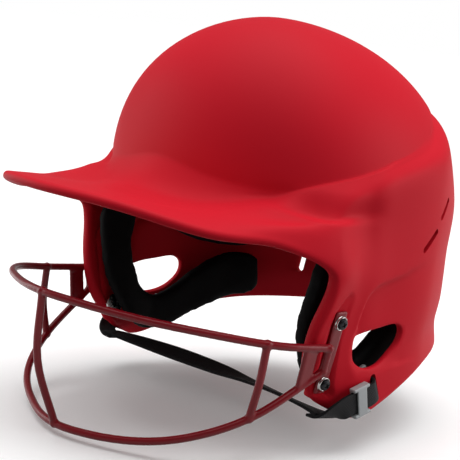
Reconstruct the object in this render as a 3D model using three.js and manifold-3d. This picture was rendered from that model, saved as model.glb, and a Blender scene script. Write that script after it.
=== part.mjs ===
// A fastpitch batting helmet: a moulded shell with a brim and two ear flaps, foam liner pads,
// a wire face guard screwed to the flaps, and a webbing chin strap with a slider on each side.
// Millimetres, +Z up, the wearer looks along -Y. Heights in the lists are taken from the hem of the
// ear flaps; the finished group is lowered so that its origin is where the head meets the crown pad.
import * as THREE from "three";
import { mergeVertices } from "three/addons/utils/BufferGeometryUtils.js";
import Module from "manifold-3d";

const wasm = await Module();
wasm.setup();

// ---- driving dimensions ----
const seatHeight = 187; // head seat above the hem of the ear flaps
const wall = 4.2; // moulded shell
const frontRim = 7.5; // thicker lip along the front of each ear flap
const gap = 0.35; // between pieces that touch
const dome = {
  halfWidth: 96, frontLength: 88, rearLength: 128, middle: 15,
  top: 207.3, waist: 103, lean: -8.4, crown: 2.4, shoulder: 1.85,
};
const padGap = 0.8; // liner pads to shell
const jawPadDepth = 8;
const sidePadDepth = 13;
const foreheadPadDepth = 14;
const crownPadRadius = 36;
const wire = 4.4; // guard wire diameter
const sidePlate = { width: 10, thickness: 2.4 };
const mountPlate = { width: 8.6, length: 48, thickness: 2, recess: 1.6 };
const screw = { shank: 4.4, head: 6.2, headHeight: 1.6, length: 13, pitch: 35.5 };
const washer = { outer: 9.4, height: 1.1 };
const teeNut = { flange: 12, barrel: 7, thickness: 1.4, stand: 2.6 };
const boltHole = 0.35; // radial clearance on the screws
const webbing = { width: 13, thickness: 1.6 };
const slider = { width: 17.5, thickness: 5 };
const columnsPerSpan = 2;
const domeRows = 8;
const rowsPerSpan = 2;
const weld = 0.02;

// ---- materials ----
const finish = (color, roughness, metalness = 0) => ({ color, roughness, metalness });
const matteRed = finish(0xc81e30, 0.55);
const coatedWire = finish(0x8c1424, 0.35);
const blackFoam = finish(0x111111, 0.9);
const blackWebbing = finish(0x161616, 0.8);
const darkSteel = finish(0x2a2a2c, 0.4, 0.9);
const nickel = finish(0xb8b8b8, 0.3, 1);
const greyPlastic = finish(0x8e9296, 0.35);

// ---- the skin: rows of points at ten stations from the front centre to the rear centre ----
const angles = [0, 22, 42, 58, 68, 78, 90, 115, 147, 180];
const creaseHeights = [127, 121, 118, 122.5, 126.5, 130.5, 137, 150, 168, 174];
const footSteps = [
  [12, 15], [10, 12.5], [4.5, 5.5], [2.5, 2], [2.5, 2], [2.5, 2], [2.5, 2.5], [2.5, 4], [1.5, 5], [1.5, 5],
];
const brow = [
  [0, -104, 110], [42, -98, 106.5], [73, -76, 107.5], [90, -51.5, 107], [98.5, -30, 114],
  [99.5, -12, 119.5], [101, 9, 125], [90, 63, 137], [48.5, 107.5, 152], [0, 125.5, 156],
];
const skirt = [
  [0, -130, 112], [45, -119, 109.5], [77.5, -92, 104.5], [94.5, -62, 103.5], [104, -36, 102.5],
  [100.5, -13, 102], [100.5, 8, 103], [92, 64, 108], [56, 117, 112], [0, 138, 114],
];
const rim = [
  [0, -151, 113.5], [47, -138, 111], [80, -106.6, 102], [95.6, -71.3, 97], [109, -39, 85],
  [103.5, -14, 81], [101, 9, 80], [92, 63, 80], [56, 116, 80], [0, 137, 80],
];
const temple = 4; // the station where the brim turns down into the front of the ear flap
const jaw = [[108.3, -36.3, 71], [102.5, -14, 66], [101, 9, 62], [92, 63, 63], [56, 116, 65], [0, 137, 66]];
const cheek = [[101.5, -40, 48], [100, -15, 46], [100.5, 9, 43], [91, 63, 48], [56, 116, 52], [0, 137, 54]];
const chin = [[96, -38, 28], [98, -14, 24], [99, 9, 21], [90, 62, 33], [55.5, 114, 38], [0, 135.5, 42]];
const hem = [[88, -30, 10], [95.5, -12, 2], [98, 9, -1], [90, 63, 18], [57, 115, 24], [0, 136, 27]];

const vec = (p) => new THREE.Vector3(...p);

// The dome above the crease: an oval plan that closes towards the crown along a superellipse.
function domePoint(degrees, height) {
  const angle = THREE.MathUtils.degToRad(degrees);
  const rise = (height - dome.waist) / (dome.top - dome.waist);
  const scale = (1 - Math.min(1, Math.max(0, rise)) ** dome.crown) ** (1 / dome.shoulder);
  const mean = (dome.frontLength + dome.rearLength) / 2;
  const reach = mean + ((dome.frontLength - dome.rearLength) / 2) * Math.cos(angle);
  return new THREE.Vector3(
    dome.halfWidth * Math.sin(angle) * scale,
    dome.middle - reach * Math.cos(angle) * scale + dome.lean * rise,
    height,
  );
}

function domeHeight(scale) {
  return dome.waist + (dome.top - dome.waist) * (1 - scale ** dome.shoulder) ** (1 / dome.crown);
}

// A smooth curve through points, at t points from its start. before and after give its end slopes.
function smoothPoint(points, t, before, after) {
  const last = points.length - 1;
  const k = Math.min(Math.floor(t), last - 1);
  const at = (n) => {
    if (n < 0) return before ?? points[0].clone().multiplyScalar(2).sub(points[1]);
    if (n > last) return after ?? points[last].clone().multiplyScalar(2).sub(points[last - 1]);
    return points[n];
  };
  const u = t - k;
  const leave = at(k + 1).clone().sub(at(k - 1)).multiplyScalar(0.5);
  const arrive = at(k + 2).clone().sub(at(k)).multiplyScalar(0.5);
  return new THREE.Vector3()
    .addScaledVector(at(k), 2 * u ** 3 - 3 * u ** 2 + 1)
    .addScaledVector(at(k + 1), -2 * u ** 3 + 3 * u ** 2)
    .addScaledVector(leave, u ** 3 - 2 * u ** 2 + u)
    .addScaledVector(arrive, u ** 3 - u ** 2);
}

const mirrored = (p) => new THREE.Vector3(-p.x, p.y, p.z);

// A row of stations is mirrored over the middle plane at the rear, and at the front when it is whole.
function rowPoint(row, t) {
  const points = row.map(vec);
  const whole = points.length === angles.length;
  const start = whole ? 0 : temple;
  const before = whole ? mirrored(points[1]) : undefined;
  return smoothPoint(points, t - start, before, mirrored(points[points.length - 2]));
}

const footRow = angles.map((degrees, k) => {
  const p = domePoint(degrees, creaseHeights[k]);
  const along = domePoint(degrees + 1, creaseHeights[k]).sub(domePoint(degrees - 1, creaseHeights[k])).normalize();
  const [out, drop] = footSteps[k];
  return [p.x + along.y * out, p.y - along.x * out, p.z - drop];
});

function stationAngle(t) {
  const k = Math.min(Math.floor(t), angles.length - 2);
  return THREE.MathUtils.lerp(angles[k], angles[k + 1], t - k);
}

function domeColumn(t) {
  const degrees = stationAngle(t);
  const foot = rowPoint(creaseHeights.map((h) => [0, 0, h]), t).z;
  const rise = (foot - dome.waist) / (dome.top - dome.waist);
  const scale = (1 - rise ** dome.crown) ** (1 / dome.shoulder);
  const column = [];
  for (let k = 1; k <= domeRows; k++) {
    const share = scale * Math.sin((k / domeRows) * (Math.PI / 2));
    column.push(domePoint(degrees, k < domeRows ? domeHeight(share) : foot));
  }
  return column;
}

// One column of the shell's outer face, from just below the crown to the rim row.
function upperColumn(t) {
  const column = domeColumn(t);
  const control = [column[domeRows - 1], ...[footRow, brow, skirt, rim].map((row) => rowPoint(row, t))];
  const after = t >= temple ? rowPoint(jaw, t) : undefined;
  for (let k = 1; k <= 4 * rowsPerSpan; k++)
    column.push(smoothPoint(control, k / rowsPerSpan, column[domeRows - 2], after));
  return column;
}

// One column of the ear flaps and neck, below the rim row.
function lowerColumn(t) {
  const control = [rowPoint(rim, t), ...[jaw, cheek, chin, hem].map((row) => rowPoint(row, t))];
  const column = [];
  for (let k = 1; k <= 4 * rowsPerSpan; k++)
    column.push(smoothPoint(control, k / rowsPerSpan, rowPoint(skirt, t)));
  return column;
}

// ---- solids from lattices ----
function closedGeometry(points, faces) {
  const geometry = new THREE.BufferGeometry().setFromPoints(points);
  geometry.setIndex(faces.flat());
  return geometry;
}

function vertexNormals(points, faces) {
  const geometry = closedGeometry(points, faces);
  geometry.computeVertexNormals();
  const normal = geometry.getAttribute("normal");
  return points.map((p, k) => new THREE.Vector3().fromBufferAttribute(normal, k));
}

const halfColumns = (angles.length - 1) * columnsPerSpan;
const ring = 2 * halfColumns;
const stationOf = (j) => Math.min(j, ring - j) / columnsPerSpan;
const onSide = (j, p) => (j > halfColumns ? mirrored(p) : p);

// The outer face of the whole shell as points and outward triangles.
function shellFace() {
  const points = [new THREE.Vector3(0, domePoint(0, dome.top).y, dome.top)];
  const faces = [];
  const grid = [];
  for (let j = 0; j < ring; j++) {
    const t = stationOf(j);
    const column = upperColumn(t);
    if (t >= temple) column.push(...lowerColumn(t));
    grid.push(column.map((p) => points.push(onSide(j, p)) - 1));
  }
  for (let j = 0; j < ring; j++) {
    const here = grid[j];
    const next = grid[(j + 1) % ring];
    faces.push([0, here[0], next[0]]);
    for (let k = 0; k + 1 < Math.min(here.length, next.length); k++)
      faces.push([here[k], here[k + 1], next[k + 1]], [here[k], next[k + 1], next[k]]);
  }
  return { points, faces, grid };
}

// A sheet given its thickness inwards, closed along its free edges.
function thicken({ points, faces }, depth) {
  const normals = vertexNormals(points, faces);
  const count = points.length;
  const inner = points.map((p, k) => p.clone().addScaledVector(normals[k], -depth(k)));
  const edges = new Map();
  for (const [a, b, c] of faces)
    for (const [from, to] of [[a, b], [b, c], [c, a]]) {
      if (!edges.delete(`${to},${from}`)) edges.set(`${from},${to}`, [from, to]);
    }
  const all = [...faces, ...faces.map(([a, b, c]) => [a + count, c + count, b + count])];
  for (const [a, b] of edges.values()) all.push([b, a, a + count], [b, a + count, b + count]);
  return closedGeometry([...points, ...inner], all);
}

// ---- boolean helpers ----
function toSolid(geometry) {
  const bare = new THREE.BufferGeometry();
  bare.setAttribute("position", geometry.getAttribute("position"));
  if (geometry.index) bare.setIndex(geometry.index);
  const merged = mergeVertices(bare, 1e-4);
  return new wasm.Manifold(
    new wasm.Mesh({
      numProp: 3,
      vertProperties: merged.getAttribute("position").array,
      triVerts: new Uint32Array(merged.index.array),
    }),
  );
}

// The mesh of a finished solid, with slivers finer than the weld closed up.
function toGeometry(solid) {
  const { vertProperties, triVerts } = solid.getMesh();
  const raw = new THREE.BufferGeometry();
  raw.setAttribute("position", new THREE.BufferAttribute(new Float32Array(vertProperties), 3));
  raw.setIndex(new THREE.BufferAttribute(new Uint32Array(triVerts), 1));
  const geometry = mergeVertices(raw, weld);
  const kept = [];
  for (let k = 0; k < geometry.index.count; k += 3) {
    const [a, b, c] = geometry.index.array.slice(k, k + 3);
    if (a !== b && b !== c && c !== a) kept.push(a, b, c);
  }
  geometry.setIndex(kept);
  geometry.computeVertexNormals();
  return geometry;
}

const minus = (body, ...tools) => tools.reduce((left, tool) => left.subtract(tool), body);

// An outline in the side view (y, z), as a prism across X from x0 to x1.
function sidePrism(shape, x0, x1) {
  const geometry = new THREE.ExtrudeGeometry(shape, { depth: x1 - x0, bevelEnabled: false, curveSegments: 6 });
  const across = new THREE.Matrix4().makeBasis(vec([0, 1, 0]), vec([0, 0, 1]), vec([1, 0, 0]));
  return toSolid(geometry.applyMatrix4(across.setPosition(x0, 0, 0)));
}

// An outline in the front view (x, z), as a prism along Y from y0 to y1.
function frontPrism(shape, y0, y1) {
  const geometry = new THREE.ExtrudeGeometry(shape, { depth: y1 - y0, bevelEnabled: false, curveSegments: 6 });
  const along = new THREE.Matrix4().makeBasis(vec([1, 0, 0]), vec([0, 0, 1]), vec([0, -1, 0]));
  return toSolid(geometry.applyMatrix4(along.setPosition(0, y1, 0)));
}

function smoothOutline(points) {
  const curve = new THREE.CatmullRomCurve3(points.map(([y, z]) => vec([y, z, 0])), true, "centripetal");
  const shape = new THREE.Shape();
  shape.setFromPoints(curve.getPoints(points.length * 2).slice(0, -1).map((p) => new THREE.Vector2(p.x, p.y)));
  return shape;
}

function roundedBar(length, width, [cx, cz], degrees) {
  const r = width / 2;
  const reach = length / 2 - r;
  const angle = THREE.MathUtils.degToRad(degrees);
  const shape = new THREE.Shape();
  const end = (s) => [cx + s * reach * Math.cos(angle), cz + s * reach * Math.sin(angle)];
  shape.absarc(...end(1), r, angle - Math.PI / 2, angle + Math.PI / 2);
  shape.absarc(...end(-1), r, angle + Math.PI / 2, angle + (3 * Math.PI) / 2);
  return shape;
}

const lathe = (profile, segments = 14) =>
  new THREE.LatheGeometry(profile.map(([r, h]) => new THREE.Vector2(r, h)), segments);

// ---- the pieces ----
const helmet = new THREE.Group();
helmet.position.z = -seatHeight;

function add(name, geometry, look, parent = helmet) {
  const mesh = new THREE.Mesh(geometry, new THREE.MeshStandardMaterial(look));
  mesh.name = name;
  parent.add(mesh);
  return mesh;
}

const sides = [["left", 1], ["right", -1]];
const flip = (solid, side) => (side > 0 ? solid : solid.mirror([1, 0, 0]));

// Guard mounts: a plate in a shallow recess on each flap, tilted with the flap's face.
const mount = { x: 98.4, y: -26.4, z: 36, tilt: THREE.MathUtils.degToRad(11.5) };

function mountMatrix(out = 0, up = 0) {
  // local +Z points out of the flap, local +Y runs up the plate
  const outward = vec([Math.cos(mount.tilt), 0, -Math.sin(mount.tilt)]);
  const upward = vec([Math.sin(mount.tilt), 0, Math.cos(mount.tilt)]);
  const place = vec([mount.x, mount.y, mount.z]).addScaledVector(outward, out).addScaledVector(upward, up);
  return new THREE.Matrix4()
    .makeBasis(new THREE.Vector3().crossVectors(upward, outward), upward, outward)
    .setPosition(place);
}

function plateSolid(extra, from, to) {
  const shape = roundedBar(mountPlate.length + 2 * extra, mountPlate.width + 2 * extra, [0, 0], 90);
  const geometry = new THREE.ExtrudeGeometry(shape, { depth: to - from, bevelEnabled: false, curveSegments: 8 });
  return toSolid(geometry.translate(0, 0, from).applyMatrix4(mountMatrix()));
}

function boltSolid(radius, from, to, up) {
  const rod = lathe([[0, from], [radius, from], [radius, to], [0, to]]);
  return toSolid(rod.rotateX(Math.PI / 2).applyMatrix4(mountMatrix(0, up)));
}

const boltPlaces = [["upper", screw.pitch / 2], ["lower", -screw.pitch / 2]];

// Openings in each flap and at the back, drawn in the side view.
const earHole = [
  [-9, 41], [-3, 44.5], [12, 46.5], [27, 47.5], [34.5, 43], [33.5, 35], [25, 28], [12, 23.5], [0, 24.5], [-8, 31],
];
const vents = [
  { length: 19, width: 3.6, middle: [50.5, 92.5], angle: 38 },
  { length: 17, width: 3.6, middle: [67, 109.5], angle: 42 },
];
const napeVent = { length: 15, width: 5, middle: [56, 47] }; // (x, z), cut from behind
const strapSlot = { length: 17, width: 5, middle: [13.5, 12.5], angle: 117 };

const face = shellFace();
// the lip grows towards the front edge of each flap
function shellDepth(k) {
  const p = face.points[k];
  const lip = THREE.MathUtils.smoothstep(-p.y, 22, 38) * THREE.MathUtils.smoothstep(92 - p.z, 0, 14);
  return THREE.MathUtils.lerp(wall, frontRim, lip);
}

let shell = toSolid(thicken(face, shellDepth));
for (const [, side] of sides) {
  const tools = [
    sidePrism(smoothOutline(earHole), 70, 130),
    ...vents.map((v) => sidePrism(roundedBar(v.length, v.width, v.middle, v.angle), 60, 130)),
    frontPrism(roundedBar(napeVent.length, napeVent.width, napeVent.middle, 90), 80, 160),
    sidePrism(roundedBar(strapSlot.length, strapSlot.width, strapSlot.middle, strapSlot.angle), 80, 130),
    plateSolid(gap, -mountPlate.recess, 12),
    ...boltPlaces.map(([, up]) => boltSolid(teeNut.barrel / 2 + boltHole, -20, 12, up)),
  ];
  shell = minus(shell, ...tools.map((tool) => flip(tool, side)));
}
add("shell", toGeometry(shell), matteRed);

// ---- face guard ----
const barPaths = {
  upper: [[103.6, -34, 40.5], [97.6, -67, 43.6], [80, -103.5, 49.5], [50, -126.6, 52.5], [0, -143.3, 55.3]],
  lower: [[101, -34, 27.4], [90.5, -70.7, 5], [70, -98, -9], [40, -116, -16.5], [0, -128.3, -18]],
};

function barCurve(path) {
  const left = path.map(vec);
  const right = left.slice(0, -1).reverse().map(mirrored);
  return new THREE.CatmullRomCurve3([...left, ...right], false, "centripetal");
}

function rodAlong(curve, diameter, steps) {
  const section = new THREE.Shape();
  section.absarc(0, 0, diameter / 2, 0, 2 * Math.PI);
  return toSolid(new THREE.ExtrudeGeometry(section, { steps, curveSegments: 4, extrudePath: curve }));
}

const upperCurve = barCurve(barPaths.upper);
const lowerCurve = barCurve(barPaths.lower);
const fatUpper = rodAlong(upperCurve, wire + 2 * gap, 44);
const fatLower = rodAlong(lowerCurve, wire + 2 * gap, 44);
add("upper_bar", toGeometry(rodAlong(upperCurve, wire, 44)), coatedWire);
add("lower_bar", toGeometry(rodAlong(lowerCurve, wire, 44)), coatedWire);

function strut(from, bow, to) {
  const curve = new THREE.CatmullRomCurve3([from, bow, to], false, "centripetal");
  return minus(rodAlong(curve, wire, 10), fatUpper, fatLower);
}

// where a bar crosses a plane of constant y on the left side
function barAt(path, y) {
  const curve = barCurve(path);
  let low = 0;
  let high = 0.5;
  for (let k = 0; k < 30; k++) {
    const middle = (low + high) / 2;
    if (curve.getPoint(middle).y > y) low = middle;
    else high = middle;
  }
  return curve.getPoint(low);
}

const centreTop = vec(barPaths.upper[4]);
const centreFoot = vec(barPaths.lower[4]);
const centreBow = centreTop.clone().lerp(centreFoot, 0.5).add(vec([0, -7, 0]));
add("centre_strut", toGeometry(strut(centreTop, centreBow, centreFoot)), coatedWire);

const cheekStrutY = -72;
const sidePlateY = -45;
for (const [name, side] of sides) {
  const cheekTop = barAt(barPaths.upper, cheekStrutY);
  const cheekFoot = barAt(barPaths.lower, cheekStrutY);
  const cheekBow = cheekTop.clone().lerp(cheekFoot, 0.5).add(vec([2, -1, 0]));
  add(`${name}_cheek_strut`, toGeometry(flip(strut(cheekTop, cheekBow, cheekFoot), side)), coatedWire);

  const endTop = vec(barPaths.upper[0]).add(vec([0, 0.4, 0]));
  const endFoot = vec(barPaths.lower[0]).add(vec([0, 0.4, 0]));
  const endMiddle = endTop.clone().lerp(endFoot, 0.5);
  add(`${name}_end_bar`, toGeometry(flip(strut(endTop, endMiddle, endFoot), side)), coatedWire);

  const plateTop = barAt(barPaths.upper, sidePlateY);
  const plateFoot = barAt(barPaths.lower, sidePlateY);
  const height = plateTop.distanceTo(plateFoot);
  const lean = Math.atan2(plateTop.x - plateFoot.x, plateTop.z - plateFoot.z);
  const middle = plateTop.clone().lerp(plateFoot, 0.5);
  const plate = new THREE.BoxGeometry(sidePlate.thickness, sidePlate.width, height + wire)
    .rotateY(lean)
    .translate(middle.x, middle.y, middle.z);
  const parts = minus(toSolid(plate), fatUpper, fatLower).decompose();
  const main = parts.reduce((a, b) => (a.volume() > b.volume() ? a : b));
  add(`${name}_side_plate`, toGeometry(flip(main, side)), coatedWire);
}

// ---- guard mounts ----
for (const [name, side] of sides) {
  const plateFace = mountPlate.thickness - mountPlate.recess + gap;
  const bolts = boltPlaces.map(([, up]) => boltSolid(screw.shank / 2 + boltHole, -20, 12, up));
  const plate = minus(plateSolid(0, gap - mountPlate.recess, plateFace), ...bolts);
  add(`${name}_mount_plate`, toGeometry(flip(plate, side)), coatedWire);
  for (const [level, up] of boltPlaces) {
    const r = screw.shank / 2;
    const washerFoot = plateFace + gap;
    const washerTop = washerFoot + washer.height;
    const seat = screw.head / 2 + boltHole;
    const cup = lathe([
      [r + boltHole, washerFoot], [washer.outer / 2, washerFoot], [seat + 0.5, washerTop],
      [seat, washerTop], [r + boltHole, washerFoot + 0.5], [r + boltHole, washerFoot],
    ]);
    const headFoot = washerTop + gap;
    const headTop = headFoot + screw.headHeight;
    const bolt = lathe([
      [0, headTop - screw.length], [r, headTop - screw.length], [r, headFoot],
      [screw.head / 2, headFoot], [screw.head / 2, headTop - 0.5], [screw.head / 2 - 0.7, headTop], [0, headTop],
    ]);
    const nutTop = -mountPlate.recess - 0.4;
    const nutFoot = -frontRim - teeNut.stand;
    const nut = lathe([
      [r + boltHole / 2, nutFoot - teeNut.thickness], [teeNut.flange / 2, nutFoot - teeNut.thickness],
      [teeNut.flange / 2, nutFoot], [teeNut.barrel / 2, nutFoot], [teeNut.barrel / 2, nutTop],
      [r + boltHole / 2, nutTop], [r + boltHole / 2, nutFoot - teeNut.thickness],
    ]);
    for (const [piece, geometry, look] of [["screw", bolt, darkSteel], ["cup_washer", cup, nickel], ["tee_nut", nut, nickel]]) {
      const placed = toSolid(geometry.rotateX(Math.PI / 2).applyMatrix4(mountMatrix(0, up)));
      add(`${name}_${level}_${piece}`, toGeometry(flip(placed, side)), look);
    }
  }
}

// ---- liner pads: sheets laid on the inside of the shell and given their depth ----
// Where a ray from inside the helmet leaves through the shell's outer face.
function skinPoint(origin, direction) {
  const ray = new THREE.Ray(vec(origin), vec(direction));
  const hit = new THREE.Vector3();
  let best = null;
  for (const [a, b, c] of face.faces)
    if (ray.intersectTriangle(face.points[a], face.points[b], face.points[c], false, hit))
      if (!best || hit.distanceTo(ray.origin) > best.distanceTo(ray.origin)) best = hit.clone();
  if (!best) throw new Error(`no shell at ${origin}`);
  return best;
}

// A sheet along a spine of [u, v, half width] points; place turns (u, v) into a point on the shell.
function spineSheet(spine, steps, strips, place) {
  const row = spine.map(vec);
  const points = [];
  const faces = [];
  for (let k = 0; k <= steps; k++) {
    const t = (k / steps) * (spine.length - 1);
    const here = smoothPoint(row, t);
    const step = 0.05;
    const along = smoothPoint(row, Math.min(t + step, spine.length - 1)).sub(smoothPoint(row, Math.max(t - step, 0)));
    const across = new THREE.Vector2(-along.y, along.x).normalize();
    for (let n = 0; n <= strips; n++) {
      const w = here.z * ((2 * n) / strips - 1);
      points.push(place(here.x + across.x * w, here.y + across.y * w));
    }
  }
  for (let k = 0; k < steps; k++)
    for (let n = 0; n < strips; n++) {
      const a = k * (strips + 1) + n;
      const b = a + strips + 1;
      faces.push([a, b, b + 1], [a, b + 1, a + 1]);
    }
  return { points, faces };
}

// A pad whose outer face lies inset from the shell's outer face. outward is a point's way out of the helmet.
function padGeometry(sheet, inset, depth, outward) {
  let { faces } = sheet;
  let normals = vertexNormals(sheet.points, faces);
  const facing = normals.reduce((sum, n, k) => sum + n.dot(outward(sheet.points[k])), 0);
  if (facing < 0) {
    faces = faces.map(([a, b, c]) => [a, c, b]);
    normals = normals.map((n) => n.negate());
  }
  const points = sheet.points.map((p, k) => p.clone().addScaledVector(normals[k], -inset));
  return thicken({ points, faces }, () => depth);
}

const padFace = wall + padGap;
const fromMiddle = (p) => new THREE.Vector3(p.x, p.y - dome.middle, 0);
const onSideWall = (y, z) => skinPoint([0, y, z], [1, 0, 0]);
const onRearWall = (x, z) => skinPoint([x, 20, z], [0, 1, 0]);
const onForehead = (degrees, z) => domePoint(degrees, z);

const crownDisc = lathe(
  [[0, seatHeight], [crownPadRadius, seatHeight], [crownPadRadius - 3, seatHeight + 8], [0, seatHeight + 11]],
  24,
);
crownDisc.rotateX(Math.PI / 2).translate(0, domePoint(0, dome.top).y + 10, 0);
add("crown_pad", crownDisc, blackFoam);

const foreheadSpine = [[-52, 112, 6], [-44, 114, 12], [-24, 117, 15], [0, 118, 16], [24, 117, 15], [44, 114, 12], [52, 112, 6]];
const rearSpine = [[0, 64, 16], [0, 70, 25], [0, 92, 31], [0, 112, 26], [0, 120, 16]];
add(
  "forehead_pad",
  padGeometry(spineSheet(foreheadSpine, 14, 3, onForehead), padFace + 1.5, foreheadPadDepth, fromMiddle),
  blackFoam,
);
add(
  "rear_pad",
  padGeometry(spineSheet(rearSpine, 8, 6, onRearWall), padFace + 1.5, foreheadPadDepth, fromMiddle),
  blackFoam,
);

const jawPadInset = frontRim + teeNut.stand + teeNut.thickness + 2 * padGap; // clear of the nuts and the anchors
const jawSpine = [
  [-22, 88, 8.5], [-22.5, 84, 11], [-23, 74, 11.5], [-26.5, 56, 11], [-25, 37, 11.5], [-17.5, 19, 12.3],
  [4, 12.8, 11], [24, 19, 11.5], [44, 28, 13], [62, 35.5, 14], [78, 38, 12.5], [85, 38.5, 8],
];
const sideSpine = [[17, 76, 7], [23, 77, 11], [42, 73, 14], [62, 70.5, 15], [78, 69, 13], [84, 68, 8]];
const upperSpine = [[24, 128, 8], [32, 129, 13], [46, 132, 15], [60, 134, 12], [68, 135, 7]];
for (const [name, side] of sides) {
  for (const [piece, spine, steps, strips, inset, depth] of [
    ["jaw_pad", jawSpine, 33, 3, jawPadInset, jawPadDepth],
    ["side_pad", sideSpine, 10, 3, padFace + 2, sidePadDepth],
    ["upper_pad", upperSpine, 8, 3, padFace + 4, sidePadDepth],
  ]) {
    const pad = toSolid(padGeometry(spineSheet(spine, steps, strips, onSideWall), inset, depth, fromMiddle));
    add(`${name}_${piece}`, toGeometry(flip(pad, side)), blackFoam);
  }
}

// ---- chin strap ----
// A flat band: a rectangle swept through stations, each a middle, a width direction and a face direction.
function band(stations, width, thickness) {
  const points = [];
  const faces = [];
  for (const [middle, across, outward] of stations) {
    const w = vec(across).normalize().multiplyScalar(width / 2);
    const f = vec(outward).normalize().multiplyScalar(thickness / 2);
    for (const [a, b] of [[-1, -1], [1, -1], [1, 1], [-1, 1]])
      points.push(vec(middle).addScaledVector(w, a).addScaledVector(f, b));
  }
  for (let k = 0; k + 1 < stations.length; k++)
    for (let n = 0; n < 4; n++) {
      const a = 4 * k + n;
      const b = 4 * k + ((n + 1) % 4);
      faces.push([a, b, b + 4], [a, b + 4, a + 4]);
    }
  const end = 4 * (stations.length - 1);
  faces.push([0, 2, 1], [0, 3, 2], [end, end + 1, end + 2], [end, end + 2, end + 3]);
  const solid = toSolid(closedGeometry(points, faces));
  return solid.volume() > 0 ? solid : toSolid(closedGeometry(points, faces.map(([a, b, c]) => [a, c, b])));
}

const strapAcross = [0.05, -0.447, 0.894];
const runAcross = [0.03, -0.254, 0.967]; // square to the straight run that the slider rides on
const tabStations = [
  [[91.5, 13.5, 12.5], strapAcross, [0, 0.894, 0.447]],
  [[98.6, 13.3, 12.4], strapAcross, [0.2, 0.894, 0.447]],
  [[101.3, 11, 11.6], strapAcross, [0.8, 0.5, 0.25]],
  [[102.3, 7, 10.3], runAcross, [1, 0.03, -0.03]],
  [[101.9, -11, 5.6], runAcross, [1, 0.03, -0.03]],
  [[100.2, -16.5, 3.1], [0.1, -0.7, 0.71], [0.9, -0.1, -0.3]],
  [[97.2, -19.5, 0.9], [0.1, -0.95, 0.3], [0.5, 0, -0.85]],
  [[92, -20.5, -0.2], [0, -1, 0.1], [0.15, 0, -1]],
];
const strapEnd = { x: 91.4, y: -20.5, z: -0.2 };
const strapMiddle = { y: -11, z: -1.2 };
const strapSteps = 14;
const chinStations = [];
for (let k = 0; k <= strapSteps; k++) {
  const s = -1 + (2 * k) / strapSteps;
  const bow = 1 - s * s;
  const slope = (-2 * s * (strapMiddle.z - strapEnd.z)) / strapEnd.x;
  chinStations.push([
    [s * strapEnd.x, strapEnd.y + (strapMiddle.y - strapEnd.y) * bow, strapEnd.z + (strapMiddle.z - strapEnd.z) * bow],
    [0, -1, 0.1 - 0.42 * bow],
    [-slope, 0.1 - 0.42 * bow, 1],
  ]);
}
add("chin_strap", toGeometry(band(chinStations, webbing.width, webbing.thickness)), blackWebbing);

for (const [name, side] of sides) {
  add(`${name}_strap_tab`, toGeometry(flip(band(tabStations, webbing.width, webbing.thickness), side)), blackWebbing);
  const ladder = [
    [[102.25, 3.9, 9.5], runAcross, [1, 0.03, -0.03]],
    [[101.97, -7.7, 6.45], runAcross, [1, 0.03, -0.03]],
  ];
  const through = [
    [[102.38, 9.9, 11.07], runAcross, [1, 0.03, -0.03]],
    [[101.84, -13.7, 4.88], runAcross, [1, 0.03, -0.03]],
  ];
  const frame = minus(
    band(ladder, slider.width, slider.thickness),
    band(through, webbing.width + 4 * gap, webbing.thickness + 4 * gap),
  );
  add(`${name}_slider`, toGeometry(flip(frame, side)), greyPlastic);
  const anchor = band(
    [
      [[88.2, 13.5, 12.5], strapAcross, [0, 0.894, 0.447]],
      [[91.1, 13.5, 12.5], strapAcross, [0, 0.894, 0.447]],
    ],
    20,
    9,
  );
  add(`${name}_strap_anchor`, toGeometry(flip(anchor, side)), greyPlastic);
}

export default helmet;
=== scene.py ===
import math
import bmesh
import bpy
from mathutils import Matrix, Vector


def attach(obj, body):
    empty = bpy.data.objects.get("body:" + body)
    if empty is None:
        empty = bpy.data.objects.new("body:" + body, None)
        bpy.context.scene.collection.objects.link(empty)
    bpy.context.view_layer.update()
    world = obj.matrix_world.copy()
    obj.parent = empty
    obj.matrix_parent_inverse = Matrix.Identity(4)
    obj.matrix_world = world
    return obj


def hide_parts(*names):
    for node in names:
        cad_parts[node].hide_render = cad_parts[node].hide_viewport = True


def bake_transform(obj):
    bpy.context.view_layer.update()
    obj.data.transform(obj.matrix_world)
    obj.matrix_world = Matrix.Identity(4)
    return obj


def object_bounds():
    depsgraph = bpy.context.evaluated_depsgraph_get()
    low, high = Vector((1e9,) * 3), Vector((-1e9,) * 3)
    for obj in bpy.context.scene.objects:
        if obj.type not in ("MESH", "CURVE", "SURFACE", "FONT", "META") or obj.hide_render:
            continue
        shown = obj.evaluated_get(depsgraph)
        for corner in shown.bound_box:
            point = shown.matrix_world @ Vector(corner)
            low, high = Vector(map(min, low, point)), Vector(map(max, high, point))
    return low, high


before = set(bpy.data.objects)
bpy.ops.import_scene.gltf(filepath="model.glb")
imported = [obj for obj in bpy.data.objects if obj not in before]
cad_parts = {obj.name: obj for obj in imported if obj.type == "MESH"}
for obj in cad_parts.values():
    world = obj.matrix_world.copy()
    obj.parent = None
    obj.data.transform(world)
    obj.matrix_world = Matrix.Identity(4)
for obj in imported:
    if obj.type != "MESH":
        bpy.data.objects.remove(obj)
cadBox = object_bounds()
print("frame loaded")

# millimetres above the hem of the ear flaps; inRow and toMesh bring them to the shared frame
seatHeight = 187
mm = 0.001
sides = (("left", 1), ("right", -1))


def inRow(x, y, z):
    return Vector((x, y, z - seatHeight)) * mm


def within(value, span):
    return span[0] < value < span[1]


def smooth(low, high, value):
    t = min(1.0, max(0.0, (value - low) / (high - low)))
    return t * t * (3 - 2 * t)


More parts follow.
